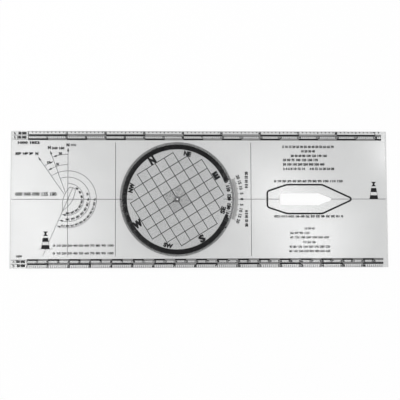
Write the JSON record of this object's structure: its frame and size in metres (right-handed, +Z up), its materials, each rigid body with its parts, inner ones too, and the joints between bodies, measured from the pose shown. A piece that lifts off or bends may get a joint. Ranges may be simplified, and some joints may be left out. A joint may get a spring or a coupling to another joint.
{
  "type": "navigation plotter",
  "caption": "Clear rectangular chart plotter with map scales on its long edges and a clear compass dial that turns on a hollow centre eyelet.",
  "frame": {"origin": "middle of the base plate's flat underside", "axes": "+X along the plate's length, towards the pencil slot's point; +Y towards the mile scales; +Z up, out of the dial's face"},
  "size_m": [0.361, 0.131, 0.0047],
  "materials": {
    "clear_plate": "clear plastic sheet, polished, with fine handling scratches",
    "clear_dial": "clear plastic sheet, polished",
    "black_ink": "screen-printed black ink",
    "grey_ink": "fine screen-printed lines",
    "white_ink": "screen-printed white ink",
    "tint_ink": "see-through grey ink",
    "eyelet_metal": "plated metal, slightly dulled"
  },
  "bodies": {
    "base": {"base_plate": "clear_plate", "mile_scale_50000": "black_ink", "mile_scale_100000": "black_ink", "kilometre_scale_100000": "black_ink", "kilometre_scale_50000": "black_ink", "centre_line": "grey_ink", "panel_lines": "grey_ink", "index_ring": "black_ink", "variation_band": "tint_ink", "variation_ticks": "grey_ink", "boat_outline": "black_ink", "north_arrows": "grey_ink", "north_arcs": "grey_ink", "course_arcs": "grey_ink", "course_line": "grey_ink", "ship_outline": "grey_ink", "left_mark": "black_ink", "right_mark": "black_ink", "mark_bands": "white_ink", "eyelet": "eyelet_metal", "eyelet_washer": "eyelet_metal"},
    "compass_dial": {"dial": "clear_dial", "dial_grid": "grey_ink", "centre_tint": "tint_ink", "degree_ring": "black_ink"}
  },
  "joints": [
    {"name": "dial_turn", "type": "hinge", "parent": "base", "child": "compass_dial", "pos_m": [-0.022, 0, 0.003], "axis": [0, 0, 1], "continuous": true}
  ]
}
